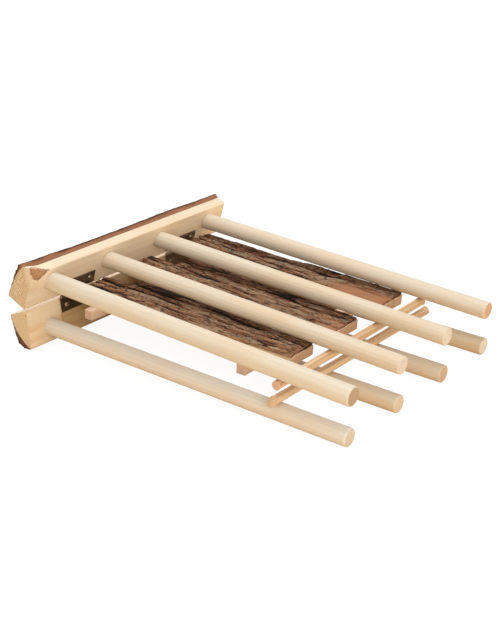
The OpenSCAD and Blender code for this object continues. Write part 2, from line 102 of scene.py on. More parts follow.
# ---- Seeded noise for the shapes ----

dice = np.random.default_rng(11)
LATTICE = dice.permutation(256)
SLOPES = dice.normal(size=(256, 3))
SLOPES /= np.linalg.norm(SLOPES, axis=1)[:, None]


def hashed(*cells):
    """A number from 0 to 255 for each lattice cell."""
    h = np.zeros_like(cells[0])
    for c in cells:
        h = LATTICE[(h + c) & 255]
    return h


def noise(x, y, z=0.0):
    """Smooth gradient noise, about -1 to 1."""
    x, y, z = np.broadcast_arrays(*(np.asarray(v, float) for v in (x, y, z)))
    p = np.stack([x, y, z], -1)
    cell = np.floor(p).astype(int)
    f = p - cell
    ease = f * f * f * (f * (f * 6 - 15) + 10)
    total = 0.0
    for corner in itertools.product((0, 1), repeat=3):
        c = cell + corner
        slope = SLOPES[hashed(c[..., 0], c[..., 1], c[..., 2])]
        weight = np.where(corner, ease, 1 - ease).prod(-1)
        total = total + weight * ((f - corner) * slope).sum(-1)
    return 1.6 * total


def rough(x, y, z, octaves):
    """Noise with finer and finer layers."""
    return sum(noise(x * 2**k, y * 2**k, z + 7.3 * k) / 2**k for k in range(octaves))


def smooth(t):
    """A soft step from 0 to 1."""
    c = np.clip(t, 0, 1)
    return c * c * (3 - 2 * c)


def wander(t, seed):
    """The slow wander of the part's source; it works in degrees."""
    return 0.6 * np.sin(np.radians(31 * t + 57 * seed)) + 0.4 * np.sin(np.radians(83 * t + 131 * seed))


# ---- Meshes ----

def loft(rings):
    """Points and faces of a closed skin over rings of points, with two flat ends."""
    rings = np.asarray(rings, float)
    n, m = rings.shape[:2]
    faces = [
        (i * m + j, i * m + (j + 1) % m, (i + 1) * m + (j + 1) % m, (i + 1) * m + j)
        for i in range(n - 1) for j in range(m)
    ]
    faces.append(tuple(range(m - 1, -1, -1)))
    faces.append(tuple(range((n - 1) * m, n * m)))
    return rings.reshape(-1, 3), faces


def solid(name, points, faces, place, sharp=WOOD_EDGE):
    """An object with its own mesh, set in a frame, with its faces turned outward."""
    mesh = bpy.data.meshes.new(name)
    mesh.from_pydata((np.asarray(points) * MM).tolist(), [], faces)
    skin = bmesh.new()
    skin.from_mesh(mesh)
    bmesh.ops.recalc_face_normals(skin, faces=skin.faces)
    skin.to_mesh(mesh)
    skin.free()
    for p in mesh.polygons:
        p.use_smooth = True
    mesh.set_sharp_from_angle(angle=math.radians(sharp))
    obj = bpy.data.objects.new(name, mesh)
    bpy.context.scene.collection.objects.link(obj)
    obj.matrix_world = place
    return obj


def mark(obj, name, values):
    """Keeps a vector for each point of the mesh, for its finish to read."""
    layer = obj.data.attributes.new(name, "FLOAT_VECTOR", "POINT")
    layer.data.foreach_set("vector", np.asarray(values, np.float32).ravel())


def grain(obj, along, pith, turn=0.0):
    """Marks each point with its place in the tree: along the trunk, then across it from the pith, in mm."""
    co = np.array([v.co for v in obj.data.vertices]) / MM
    others = [k for k in range(3) if k != along]
    a, b = (co[:, k] - p for k, p in zip(others, pith))
    c, s = math.cos(turn), math.sin(turn)
    mark(obj, "grain", np.stack([co[:, along], c * a - s * b, s * a + c * b], -1))


def fit(obj, finish, body, slot, *nodes):
    """Names a finished piece, moves its place into its mesh, and sets it in its body for its CAD node."""
    obj.name = f"finished_{nodes[0]}"
    obj.data.transform(obj.matrix_world)
    obj.matrix_world = Matrix.Identity(4)
    obj.data.materials.append(finish)
    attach(obj, body)
    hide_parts(*nodes)


# ---- Finishes ----

def math_method(operation, swapped=False):
    """A method that puts a value and another term through a Math node."""
    def method(self, other):
        terms = (other, self) if swapped else (self, other)
        return self.maths(operation, *terms)
    return method


class Value:
    """A shader socket holding a number, so that shader maths reads as Python."""

    def __init__(self, finish, socket):
        self.finish, self.socket = finish, socket

    def maths(self, operation, *terms):
        return self.finish.node("ShaderNodeMath", {"operation": operation}, dict(enumerate(terms)))

    __add__, __radd__ = math_method("ADD"), math_method("ADD", swapped=True)
    __sub__, __rsub__ = math_method("SUBTRACT"), math_method("SUBTRACT", swapped=True)
    __mul__, __rmul__ = math_method("MULTIPLY"), math_method("MULTIPLY", swapped=True)
    __truediv__ = math_method("DIVIDE")
    at_most = math_method("MINIMUM")

    def part(self):
        """What is left over the whole number below."""
        return self.maths("FRACT", self)

    def size(self):
        """The value without its sign."""
        return self.maths("ABSOLUTE", self)


class Finish:
    """A material in the making; node() adds any node and the other methods are short for it."""

    def __init__(self, name):
        self.material = bpy.data.materials.new(name)
        self.material.use_nodes = True
        self.tree = self.material.node_tree
        self.tree.nodes.clear()

    def node(self, kind, settings=None, inputs=None, output=0):
        made = self.tree.nodes.new(kind)
        for key, value in (settings or {}).items():
            if key == "stops":
                self.set_stops(made.color_ramp, value)
            else:
                setattr(made, key, value)
        for key, value in (inputs or {}).items():
            if isinstance(value, Value):
                self.tree.links.new(value.socket, made.inputs[key])
            else:
                made.inputs[key].default_value = value
        return Value(self, made.outputs[output])

    @staticmethod
    def set_stops(ramp, stops):
        while len(ramp.elements) < len(stops):
            ramp.elements.new(1.0)
        for element, (place, colour) in zip(ramp.elements, stops):
            element.position = place
            element.color = (*colour, 1.0)

    def marked(self, name):
        return self.node("ShaderNodeAttribute", {"attribute_name": name}, output="Vector")

    def split(self, vector):
        first = self.node("ShaderNodeSeparateXYZ", None, {0: vector})
        made = first.socket.node
        return [Value(self, made.outputs[k]) for k in range(3)]

    def vector(self, operation, *terms, output="Vector"):
        return self.node("ShaderNodeVectorMath", {"operation": operation}, dict(enumerate(terms)), output)

    def scaled(self, vector, sizes):
        return self.vector("MULTIPLY", vector, sizes)

    def noise(self, where, detail=3.0, roughness=0.5, output="Fac"):
        inputs = {"Vector": where, "Scale": 1.0, "Detail": detail, "Roughness": roughness}
        return self.node("ShaderNodeTexNoise", None, inputs, output)

    def cells(self, where):
        """Irregular cells: how far a point is inside its cell's edge, and the cell's own number, 0 to 1."""
        inputs = {"Vector": where, "Scale": 1.0}
        inside = self.node("ShaderNodeTexVoronoi", {"feature": "DISTANCE_TO_EDGE"}, inputs, "Distance")
        own = self.split(self.node("ShaderNodeTexVoronoi", None, inputs, "Color"))[0]
        return inside, own

    def ramp(self, value, *stops):
        return self.node("ShaderNodeValToRGB", {"stops": stops}, {"Fac": value}, "Color")

    def levels(self, value, low, high):
        """0 below low and 1 above high, with a smooth step between."""
        return self.node(
            "ShaderNodeMapRange", {"interpolation_type": "SMOOTHSTEP"},
            {"Value": value, "From Min": low, "From Max": high},
        )

    def mix(self, share, first, second, blend="MIX"):
        """Mixes two colours; a colour is a socket or three numbers."""
        first, second = (c if isinstance(c, Value) else (*c, 1.0) for c in (first, second))
        return self.node(
            "ShaderNodeMix", {"data_type": "RGBA", "blend_type": blend},
            {0: share, 6: first, 7: second}, 2,
        )

    def finish(self, colour, roughness, height=None, lift=0.0002, strength=0.5, **fixed):
        inputs = {"Base Color": colour, "Roughness": roughness, **fixed}
        if height is not None:
            inputs["Normal"] = self.node(
                "ShaderNodeBump", None, {"Height": height, "Distance": lift, "Strength": strength}, "Normal"
            )
        shader = self.node("ShaderNodeBsdfPrincipled", None, inputs)
        self.node_out(shader)
        return self.material

    def node_out(self, shader):
        out = self.tree.nodes.new("ShaderNodeOutputMaterial")
        self.tree.links.new(shader.socket, out.inputs["Surface"])


def end_grain(f, tree, bent, ring, lines, fleck, tint):
    """Colour of a sawn end: close rings, broken up along the rays."""
    rays = f.noise(f.scaled(tree, (0.02, 0.5, 0.5)), 4.0, 0.6)
    late = f.mix(1.0, tint, (0.66, 0.5, 0.36), "MULTIPLY")
    close = ((bent + 1.6 * (rays - 0.5)) / ring).part()
    streaked = f.levels(close, 0.1, 0.85) * (1.0 - f.levels(close, 0.9, 1.0)) * f.levels(rays, 0.3, 0.6)
    return f.mix(streaked * lines + 0.25 * f.levels(fleck, 0.45, 0.7), tint, late)


def knotted(f, tree, colour, away):
    """Wood with a knot in it: a brown core with a dark rim, and a pale halo; away is 1 at the rim."""
    swirl = f.noise(f.scaled(tree, (0.25, 0.25, 0.25)), 3.0)
    out = away + 0.3 * (swirl - 0.5)
    halo = f.levels(out, 0.95, 1.1) * (1.0 - f.levels(out, 1.1, 1.7))
    colour = f.mix(halo * 0.5, colour, (0.86, 0.72, 0.52))
    rings = (out * 5.0).part()
    core = f.mix(f.levels(rings, 0.3, 0.9) * 0.5, (0.5, 0.26, 0.135), (0.35, 0.165, 0.075))
    core = f.mix(f.levels(out, 0.78, 0.95) * 0.6, core, (0.22, 0.1, 0.05))
    return f.mix(1.0 - f.levels(out, 0.96, 1.03), colour, core)


def wood(name, pale, late, warm, ring, streak, trunk, end_tint=None, end_share=0.55, end_ring=1.4,
         end_lines=0.75, roughness=0.5, saw=0.0, knots=(), knot_top=None, painted_light_and_shade=None):
    """Softwood with growth rings about the pith, fine fibres and darker end grain.

    The trunk ran along x (0) or y (1). A knot is its centre, one over its size each way and its push on
    the rings, and none shows over knot_top. The front's painted light and shade is a place along the wood,
    the width of the change and what the front's colour is multiplied by past it: painted shade under 1 and
    painted light over 1. Without an end tint, the mesh gives both tints.
    """
    f = Finish(name)
    tree = f.marked("grain")
    along, across, up = f.split(tree)
    sway = f.noise(f.scaled(tree, (0.006, 0.035, 0.035)), 2.0)
    waver = f.noise(f.scaled(tree, (0.012, 0.3, 0.3)), 3.0)
    radius = f.vector("LENGTH", f.scaled(tree, (0.0, 1.0, 1.0)), output="Value")
    bent = radius + 5.0 * sway + 0.9 * waver
    knot = None
    for centre, size, push in knots:
        away = f.vector("LENGTH", f.scaled(f.vector("SUBTRACT", tree, centre), size), output="Value")
        bent = bent + push * (1.0 - f.levels(away, 0.4, 2.4))
        if knot_top:
            away = away + 12.0 * f.levels(up, knot_top, knot_top + 0.4)
        knot = away if knot is None else knot.at_most(away)
    ring_place = (bent / ring).part()
    line = f.levels(ring_place, 0.15, 0.86) * (1.0 - f.levels(ring_place, 0.9, 1.0))
    years = f.noise(f.scaled(tree, (0.0005, 0.16, 0.16)), 1.0)
    fibre = f.noise(f.scaled(tree, (0.05, 2.4, 2.4)), 4.0, 0.65)
    fleck = f.noise(f.scaled(tree, (0.22, 5.5, 5.5)), 2.0)
    cloud = f.noise(f.scaled(tree, (0.012, 0.06, 0.06)), 2.0)
    facing = f.split(f.node("ShaderNodeTexCoord", output="Normal"))
    end = f.levels(facing[trunk].size(), 0.8, 0.97)

    colour = f.mix(line * streak * (0.35 + 1.1 * years), pale, late)
    colour = f.mix(f.levels(cloud, 0.42, 0.72) * 0.5, colour, warm)
    colour = f.mix(f.levels(fibre, 0.42, 0.75) * 0.3, colour, late)
    colour = f.mix(f.levels(fleck, 0.6, 0.78) * 0.18, colour, tuple(0.55 * c for c in late))
    # Painted light and shade: front faces past a place along the wood are made lighter or darker
    if painted_light_and_shade:
        start, over, tone = painted_light_and_shade
        past = f.levels(along + 2.0 * (waver - 0.5), start, start + over)
        front = f.levels(facing[0], 0.5, 0.9)
        colour = f.mix(front * past, colour, f.mix(1.0, colour, tone, "MULTIPLY"))
    if end_tint is None:
        colour = f.mix(1.0, colour, f.marked("tint"), "MULTIPLY")
        end_tint = f.marked("end_tint")
    ends = end_grain(f, tree, bent, end_ring, end_lines, fleck, end_tint)
    colour = f.mix(end * end_share, colour, ends)
    height = 0.5 * line + 0.5 * fibre - 0.4 * f.levels(fleck, 0.6, 0.8)
    if saw:
        marks = f.node(
            "ShaderNodeTexWave", {"wave_type": "BANDS", "bands_direction": "X"},
            {"Vector": tree, "Scale": saw, "Distortion": 1.6, "Detail": 2.0, "Detail Scale": 0.4}, "Fac",
        )
        height = height + 0.35 * marks * (1.0 - end)
        colour = f.mix(0.05 * marks * (1.0 - end), colour, late)
    if knot is not None:
        colour = knotted(f, tree, colour, knot)
    return f.finish(
        colour, roughness + 0.12 * fibre - 0.05 * line, height, 0.00022, 0.55,
        **{"Specular IOR Level": 0.42},
    )


def bark(name, crest, flake, brown, red, groove_and_shade, bast, fine=1.0):
    """Pine bark: scaly flakes in greys, browns and reds, parted by cracks whose darkness is partly the
    bark's own, partly painted shade.

    The mesh is marked with the bark's height, how rusty it is and how bare, from 0 to 1.
    """
    f = Finish(name)
    tree = f.marked("grain")
    height, rust, bare = f.split(f.marked("bark"))
    warp = f.noise(f.scaled(tree, (0.09, 0.4, 0.4)), output="Color")
    bent = f.vector("ADD", tree, f.scaled(f.vector("SUBTRACT", warp, (0.5, 0.5, 0.5)), (14.0, 4.6, 4.6)))
    scales, scale_tone = f.cells(f.scaled(bent, (0.042 * fine, 0.3 * fine, 0.3 * fine)))
    chips, chip_tone = f.cells(f.scaled(bent, (0.1 * fine, 0.72 * fine, 0.72 * fine)))
    grit = f.noise(f.scaled(tree, (0.5 * fine, 1.5 * fine, 1.5 * fine)), 5.0, 0.7)
    streaks = f.noise(f.scaled(tree, (0.05, 1.1, 1.1)), 4.0, 0.6)
    patch = f.noise(f.scaled(tree, (0.03, 0.1, 0.1)), 3.0)
    crack_and_shade = 1.0 - f.levels(scales + 0.1 * (grit - 0.5), 0.015, 0.09)
    chink = 1.0 - f.levels(chips + 0.12 * (grit - 0.5), 0.01, 0.09)
    level = height + 0.35 * (grit - 0.5) + 0.3 * (scale_tone - 0.5)
    # Colours by height of relief; the near-black bottom is partly the bark's own dark, partly painted shade
    colour = f.ramp(level, (0.0, groove_and_shade), (0.25, red), (0.5, brown), (0.85, crest), (1.0, crest))
    dusty = f.levels(chip_tone + 0.6 * (patch - 0.5), 0.5, 0.72) * f.levels(height, 0.45, 0.75)
    colour = f.mix(dusty * 0.8, colour, f.mix(grit, crest, flake))
    grey = f.levels(scale_tone + 0.8 * (patch - 0.5), 0.55, 0.75) * f.levels(height, 0.4, 0.7)
    colour = f.mix(grey * 0.6, colour, f.mix(streaks, (0.19, 0.15, 0.11), (0.46, 0.37, 0.27)))
    rusty = f.levels(rust + 0.5 * (chip_tone - 0.5), 0.55, 0.75)
    colour = f.mix(rusty * 0.4, colour, f.mix(streaks, red, tuple(1.35 * c for c in brown)))
    colour = f.mix(chink * 0.45, colour, tuple(0.8 * c for c in red))
    # Cracks take the groove colour: partly the bark's own dark, partly painted shade
    colour = f.mix(crack_and_shade * 0.8, colour, groove_and_shade)
    inner = f.mix(f.levels(streaks, 0.35, 0.65), tuple(0.75 * c for c in bast), bast)
    # The lowest relief darkens to the groove colour: partly the bark's own dark, partly painted shade
    colour = f.mix(1.0 - f.levels(level, 0.12, 0.38), colour, groove_and_shade)
    colour = f.mix(bare * 0.9, colour, inner)
    rind = f.levels(scales, 0.0, 0.2) + 0.5 * f.levels(chips, 0.0, 0.2)
    bumps = 0.5 * grit + 0.4 * streaks + 0.9 * (1.0 - bare) * rind
    return f.finish(colour, 0.86 - 0.1 * bare, bumps, 0.0008, 0.8, **{"Specular IOR Level": 0.25})


def worn_metal(name, base, rubbed, roughness):
    """Dark bronze or bright steel with fine brush marks and rubbed patches."""
    f = Finish(name)
    where = f.scaled(f.node("ShaderNodeTexCoord", output="Object"), (1000.0, 1000.0, 1000.0))
    brushed = f.noise(f.scaled(where, (0.5, 5.0, 5.0)), 3.0)
    blotch = f.noise(f.scaled(where, (0.35, 0.35, 0.35)), 4.0, 0.6)
    rub = f.levels(blotch, 0.52, 0.7)
    colour = f.mix(rub * 0.6, base, rubbed)
    colour = f.mix(f.levels(brushed, 0.45, 0.7) * 0.25, colour, tuple(1.5 * c for c in base))
    return f.finish(
        colour, roughness + 0.15 * blotch - 0.08 * rub, brushed + 0.6 * blotch, 0.00008, 0.4,
        Metallic=0.9,
    )


bar_wood = wood(
    "bar_wood", pale=(0.66, 0.605, 0.505), late=(0.6, 0.43, 0.27), warm=(0.67, 0.5, 0.34),
    ring=2.6, streak=0.26, trunk=0, end_share=0.95, end_ring=1.1, end_lines=0.7,
)
upper_log_wood = wood(
    "upper_log_wood", pale=(0.75, 0.65, 0.5), late=(0.62, 0.42, 0.24), warm=(0.74, 0.56, 0.38),
    ring=3.4, streak=0.24, trunk=1, end_tint=(0.7, 0.56, 0.37), end_share=0.85, end_ring=1.7, end_lines=2.3,
    saw=0.16, knots=(((-14.0, -16.9, 45.0), (1 / 17, 1 / 10.7, 1 / 19), 1.5),), knot_top=43.5,
    # painted light: the front face past the collar is lightened and warmed as if by light bounced off the
    # wood around it
    painted_light_and_shade=(10.0, 90.0, (1.14, 1.09, 1.01)),
)
lower_log_wood = wood(
    "lower_log_wood", pale=(0.74, 0.61, 0.43), late=(0.64, 0.41, 0.21), warm=(0.71, 0.51, 0.31),
    ring=5.6, streak=0.62, trunk=1, end_tint=(0.64, 0.5, 0.31), end_share=0.8, end_ring=2.2, end_lines=0.5,
    saw=0.16, knots=(((-25.0, -31.7, -7.0), (1 / 6, 1 / 1.1, 1 / 1.3), 0.6),),
    # painted shade: the front face past the near end is darkened where the upper log and bars shade it
    painted_light_and_shade=(12.6, 1.5, (0.74, 0.66, 0.52)),
)
stick_wood = wood(
    "stick_wood", pale=(0.73, 0.52, 0.32), late=(0.44, 0.25, 0.115), warm=(0.52, 0.32, 0.17),
    ring=1.3, streak=0.75, trunk=1, end_tint=(0.72, 0.45, 0.33), roughness=0.55,
)
batten_wood = wood(
    "batten_wood", pale=(0.77, 0.58, 0.42), late=(0.62, 0.38, 0.24), warm=(0.74, 0.5, 0.36),
    ring=1.6, streak=0.5, trunk=1, end_tint=(0.74, 0.52, 0.4), saw=0.3, roughness=0.6,
)
slat_wood = wood(
    "slat_wood", pale=(0.76, 0.58, 0.38), late=(0.6, 0.36, 0.19), warm=(0.72, 0.47, 0.28),
    ring=1.5, streak=0.6, trunk=0, end_tint=(0.66, 0.45, 0.33), end_share=0.75, saw=0.2, roughness=0.6,
)
log_bark = bark(
    "log_bark", crest=(0.17, 0.11, 0.08), flake=(0.24, 0.17, 0.13), brown=(0.15, 0.075, 0.045),
    red=(0.1, 0.04, 0.022), groove_and_shade=(0.035, 0.016, 0.01), bast=(0.36, 0.16, 0.08), fine=1.2,
)
slat_bark = bark(
    "slat_bark", crest=(0.385, 0.25, 0.145), flake=(0.54, 0.43, 0.29), brown=(0.325, 0.157, 0.077),
    red=(0.2, 0.072, 0.034), groove_and_shade=(0.02, 0.009, 0.005), bast=(0.4, 0.18, 0.085),
)
hinge_metal = worn_metal("hinge_metal", (0.3, 0.25, 0.19), (0.42, 0.36, 0.28), 0.24)
# Painted shade and reflection: a darker copy of the hinge bronze for the one leaf that mirrors the dark
# bark in front of it
hinge_metal_painted_shade = worn_metal("hinge_metal_painted_shade", (0.1, 0.08, 0.06), (0.22, 0.18, 0.13), 0.24)
screw_metal = worn_metal("screw_metal", (0.32, 0.25, 0.15), (0.5, 0.42, 0.3), 0.36)
nail_steel = worn_metal("nail_steel", (0.5, 0.5, 0.5), (0.66, 0.65, 0.63), 0.35)

# The other metal pieces keep the part's own shapes
for name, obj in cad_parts.items():
    if "leaf" in name or "pin" in name:
        obj.data.materials.clear()
        # lower hinge leaf 1 gets the darker copy, with painted shade and reflection
        obj.data.materials.append(hinge_metal_painted_shade if name == "lower_hinge_leaf_1" else hinge_metal)
    elif "brads" in name or "nails" in name:
        obj.data.materials.clear()
        obj.data.materials.append(nail_steel)


# ---- Log bars ----

def collar(y):
    """Share of the knot's collar that is left at a distance from the near end."""
    return 1 - smooth(y / COLLAR_LEN)


def face_point(lean, height):
    """A point of a log's leaning front."""
    return np.array([-FACE_BACK / math.cos(lean) + height * math.tan(lean), height])


def stop_height(slope, back):
    """Height of a sloped stop face at a distance behind the hinge line."""
    return STOP_GAP / 2 / math.cos(slope) + back * math.tan(slope)


def front_corner(lean, slope):
    """Where a log's front meets its stop face."""
    height = stop_height(slope, FACE_BACK / math.cos(lean)) / (1 + math.tan(slope) * math.tan(lean))
    return face_point(lean, height)


UPPER_BACK = (-UPPER_BACK_DEPTH, stop_height(UPPER_STOP, UPPER_BACK_DEPTH))
LOWER_BACK = (-LOG_DEPTH, stop_height(LOWER_STOP, LOG_DEPTH))


def shares(profile):
    """An outline in millimetres from its shares of the log's depth and height."""
    return np.array([(-a * LOG_DEPTH, b * LOG_H) for a, b in profile])


def lifted(points, y):
    """The bark side rises a little with the collar."""
    rise = 0.3 * collar(y) * COLLAR_RISE
    fall = 1 - np.arange(len(points)) / (len(points) - 1)
    return points + np.stack([0 * fall, rise * fall], -1)


def upper_ring(y):
    """The upper log's section, which swells at its front and top in the collar."""
    c = collar(y) * COLLAR_RISE
    front = [
        front_corner(UPPER_LEAN, UPPER_STOP),
        face_point(UPPER_LEAN, 0.4 * LOG_H),
        face_point(UPPER_LEAN, 0.66 * LOG_H) + (0.35 * c, 0),
        face_point(UPPER_LEAN, 0.868 * LOG_H) + (0.72 * c, 0.95 * c),
    ]
    return np.vstack([front, lifted(shares(UPPER_WOOD), y), [UPPER_BACK]])


def lower_ring(y):
    """The lower log's section, the same all along."""
    front = [front_corner(LOWER_LEAN, LOWER_STOP)]
    front += [face_point(LOWER_LEAN, k * LOG_H) for k in (0.4, 0.66, 0.92)]
    return np.vstack([front, shares(LOWER_WOOD), [LOWER_BACK]])


def eased(ring, radii, steps=5, between=4):
    """A ring with its corners rounded: each radius is the length taken off both sides of a corner."""
    made = []
    n = len(ring)
    for k in range(n):
        p, before, after = ring[k], ring[k - 1], ring[(k + 1) % n]
        u, v = before - p, after - p
        r = min(radii[k], 0.45 * np.linalg.norm(u), 0.45 * np.linalg.norm(v))
        start, end = p + u / np.linalg.norm(u) * r, p + v / np.linalg.norm(v) * r
        for t in np.linspace(0, 1, steps):
            made.append((1 - t) ** 2 * start + 2 * t * (1 - t) * p + t * t * end)
        w = ring[(k + 2) % n] - after
        r = min(radii[(k + 1) % n], 0.45 * np.linalg.norm(v), 0.45 * np.linalg.norm(w))
        far = after - v / np.linalg.norm(v) * r
        for t in np.linspace(0, 1, between + 2)[1:-1]:
            made.append((1 - t) * end + t * far)
    return np.array(made)


def along_log(length, near=1.5, far=5.0):
    """Stations along a log bar, closer together in the knot's collar."""
    return np.concatenate([
        np.arange(0, COLLAR_LEN, near),
        np.linspace(COLLAR_LEN, length, int((length - COLLAR_LEN) / far)),
    ])


CORNERS = (0.7, 4.0, 4.0, 1.3, 1.6, 3.0, 4.0, 4.0, 4.0, 3.0, 0.8)
PLANED_DIP, PLANED_FROM = 0.12, 16.0    # how far the front dips, and from which height up


def log_wood(name, ring, length, over, side, finish, seed):
    """A log bar's wood, planed a little unevenly and bored for its bars; over is its reach past bar 1."""
    rings = []
    for y in along_log(length):
        outline = eased(ring(y), CORNERS)
        dip = PLANED_DIP * noise(y / 30, outline[:, 1] / 8, seed) - PLANED_DIP
        outline = outline + np.stack([dip * smooth((outline[:, 1] - PLANED_FROM) / 6), 0 * dip], -1)
        rings.append([(x, y - over, side * z) for x, z in outline])
    obj = solid(name, *loft(rings), RACK[side])
    bore_for_bars(obj, side)
    grain(obj, 1, (LOG_PITH_X, LOG_PITH_Z * side))
    fit(obj, finish, BODY[side], "log_wood", name)


def bar_radius(i, side):
    return FIRST_BAR_R if side > 0 and i == 0 else BAR_R


def bar_height(i, side):
    """Height of a bar's axis over the hinge line."""
    return UPPER_AXIS + bar_radius(i, side) - BAR_R if side > 0 else LOWER_AXIS


def bar_root(i, side):
    """Where a bar ends inside its log, measured from the hinge line."""
    profile = shares(UPPER_WOOD if side > 0 else LOWER_WOOD)[::-1]
    top = bar_height(i, side) + bar_radius(i, side)
    return ROOT_WOOD + np.interp(top, profile[:, 1], profile[:, 0])


def bore_for_bars(obj, side):
    """Cuts the four holes that the bars are glued into."""
    past_front = 40.0
    cutters = []
    for i in range(4):
        r = bar_radius(i, side) + GLUE_GAP
        turn = np.linspace(0, 2 * math.pi, ROUND, endpoint=False)
        y, z = i * BAR_PITCH, side * bar_height(i, side)
        rings = [
            [(x, y + r * math.cos(t), z + r * math.sin(t)) for t in turn]
            for x in (bar_root(i, side), past_front)
        ]
        cutters.append(solid(f"bore_{i}", *loft(rings), obj.matrix_world))
    for cutter in cutters:
        cut = obj.modifiers.new("bore", "BOOLEAN")
        cut.operation, cut.solver, cut.object = "DIFFERENCE", "EXACT", cutter
    bpy.context.view_layer.update()
    shaped = bpy.data.meshes.new_from_object(obj.evaluated_get(bpy.context.evaluated_depsgraph_get()))
    obj.modifiers.clear()
    obj.data = shaped
    for cutter in cutters:
        bpy.data.objects.remove(cutter)
    for p in shaped.polygons:
        p.use_smooth = True
    shaped.set_sharp_from_angle(angle=math.radians(WOOD_EDGE))


def bark_relief(x, t, seed):
    """Depth in mm of a strip of bark, its clefts from 0 to 1 and how rusty it is; x is along the trunk."""
    drift = t + 1.3 * noise(x / 26, t / 8, seed)
    layer = (
        noise(x / 44, drift / 5.2, seed + 1) + 0.45 * noise(x / 13, drift / 2.7, seed + 2)
        + 0.2 * rough(x / 4.2, drift / 1.5, seed + 3, 2)
    )
    steps = sum(smooth((layer - edge) / 0.07) for edge in (-0.42, -0.1, 0.2, 0.5)) / 4
    cleft = 1 - smooth(np.abs(noise(x / 38, drift / 3.6, seed + 6)) / 0.09)
    cleft = cleft * smooth(0.5 + 1.5 * noise(x / 19, drift / 9, seed + 7))
    across = 1 - smooth(np.abs(noise(x / 6.5, drift / 11, seed + 8) + 0.1) / 0.05)
    across = across * smooth(1.2 * noise(x / 23, drift / 5, seed + 9)) * steps
    strands = rough(x / 11, drift / 0.9, seed + 4, 3)
    crumbs = rough(x / 2.2, t / 1.2, seed + 5, 3)
    depth = 1.35 * (1 - steps) + cleft + 0.6 * across - 0.16 * strands - 0.1 * crumbs
    return depth, cleft, 0.5 + 0.9 * noise(x / 30, drift / 4, seed + 10)


def resampled(path, count):
    """Points evenly spread along a path."""
    steps = np.linalg.norm(np.diff(path, axis=0), axis=1)
    at = np.concatenate([[0], np.cumsum(steps)])
    want = np.linspace(0, at[-1], count)
    return np.stack([np.interp(want, at, path[:, k]) for k in range(path.shape[1])], -1), want


def inward(path):
    """Unit normals of a path, to its right as it runs."""
    along = np.gradient(path, axis=0)
    along /= np.linalg.norm(along, axis=1)[:, None]
    return np.stack([along[:, 1], -along[:, 0]], -1)


BROKEN_EDGE = 3.9                     # width of the bark's bare, broken upper edge
WHOLE_FROM, LEAST_BARK = 4.5, 0.45    # from there down, the bark over the wood is nowhere thinner
CREST_TOP = 40.3                      # height in the upper rack's frame that the bark stays under
DEEPEST = 2.5                         # depth of relief that the finish reads as the bottom of a furrow
OUTER_POINTS, INNER_POINTS = 58, 60


def crest_rise(y):
    """How far the upper log's bark stands over its plain outline: most at the knot and past the middle."""
    return 1.9 + 1.1 * np.exp(-(((y - 2) / 24) ** 2)) + 0.9 * np.exp(-(((y - 155) / 34) ** 2))


def log_bark_skin(name, wood_profile, bark_profile, back, length, over, side, seed, stood_up):
    """A log bar's bark: a furrowed skin on the wood, broken off in a wandering line at its upper edge."""
    rings, heights = [], []
    for y in along_log(length, 0.9, 0.9):
        wood_line, bark_line = shares(wood_profile), shares(bark_profile)
        if stood_up:
            wood_line, bark_line = lifted(wood_line, y), lifted(bark_line, y)
        outer, t = resampled(np.vstack([wood_line[:1], bark_line, [back]]), OUTER_POINTS)
        inner, _ = resampled(np.vstack([wood_line, [back]]), INNER_POINTS)
        relief, cleft, rust = bark_relief(y, t, seed)
        h = np.clip(1 - (1.15 * relief + 0.5 * cleft) / DEEPEST, 0, 1)
        cut = 1 - smooth((t - BROKEN_EDGE) / 1.2)
        depth = (0.1 + 0.8 * np.maximum(relief, 0)) * (1 - cut)
        crest = np.exp(-(((t - BROKEN_EDGE) / 1.3) ** 2))
        depth = depth + 0.35 * (1 + noise(y / 8, 0.0, seed + 9)) * crest
        depth = depth + 0.12 * (1 + rough(y / 14, t / 0.9, seed, 2)) * cut
        skin = np.hypot(*(outer[:, None] - inner[None]).transpose(2, 0, 1)).min(1)
        depth = np.where(t > WHOLE_FROM, np.minimum(depth, skin - LEAST_BARK), depth)
        outer = outer - inward(outer) * (depth * smooth(t / 0.8))[:, None]
        outer[:, 0] = np.maximum(outer[:, 0], -1.005 * LOG_DEPTH)
        if stood_up:
            lip = np.exp(-(((t - 4.4) / 2.6) ** 2)) * smooth(t / 2.5)
            outer[:, 1] = np.minimum(outer[:, 1] + crest_rise(y - over) * lip, CREST_TOP)
        ring = np.vstack([outer, inner[-5:0:-5]])
        rings.append([(x, y - over, side * z) for x, z in ring])
        bare = np.clip(cut * (1.05 - smooth((t - 1.9 + 0.8 * noise(y / 17, 0.5, seed)) / 1.6)), 0, 1)
        marks = np.stack([h * (1 - cut) + 0.3 * cut, rust * (1 - cut), bare], -1)
        buried = np.tile((0.3, 0.5, 0.6), (len(ring) - len(outer), 1))
        heights.append(np.vstack([marks, buried]))
    obj = solid(name, *loft(rings), RACK[side], BARK_EDGE)
    mark(obj, "bark", np.concatenate(heights))
    grain(obj, 1, (LOG_PITH_X, LOG_PITH_Z * side))
    fit(obj, log_bark, BODY[side], "log_bark", name)


log_wood("upper_log", upper_ring, UPPER_LOG_LEN, UPPER_LOG_OVER, 1, upper_log_wood, 1)
log_wood("lower_log", lower_ring, LOWER_LOG_LEN, LOWER_LOG_OVER, -1, lower_log_wood, 2)
log_bark_skin("upper_log_bark", UPPER_WOOD, UPPER_BARK, UPPER_BACK,
              UPPER_LOG_LEN, UPPER_LOG_OVER, 1, 1, stood_up=True)
log_bark_skin("lower_log_bark", LOWER_WOOD, LOWER_BARK, LOWER_BACK,
              LOWER_LOG_LEN, LOWER_LOG_OVER, -1, 5, stood_up=False)


# ---- Round bars and cross sticks ----

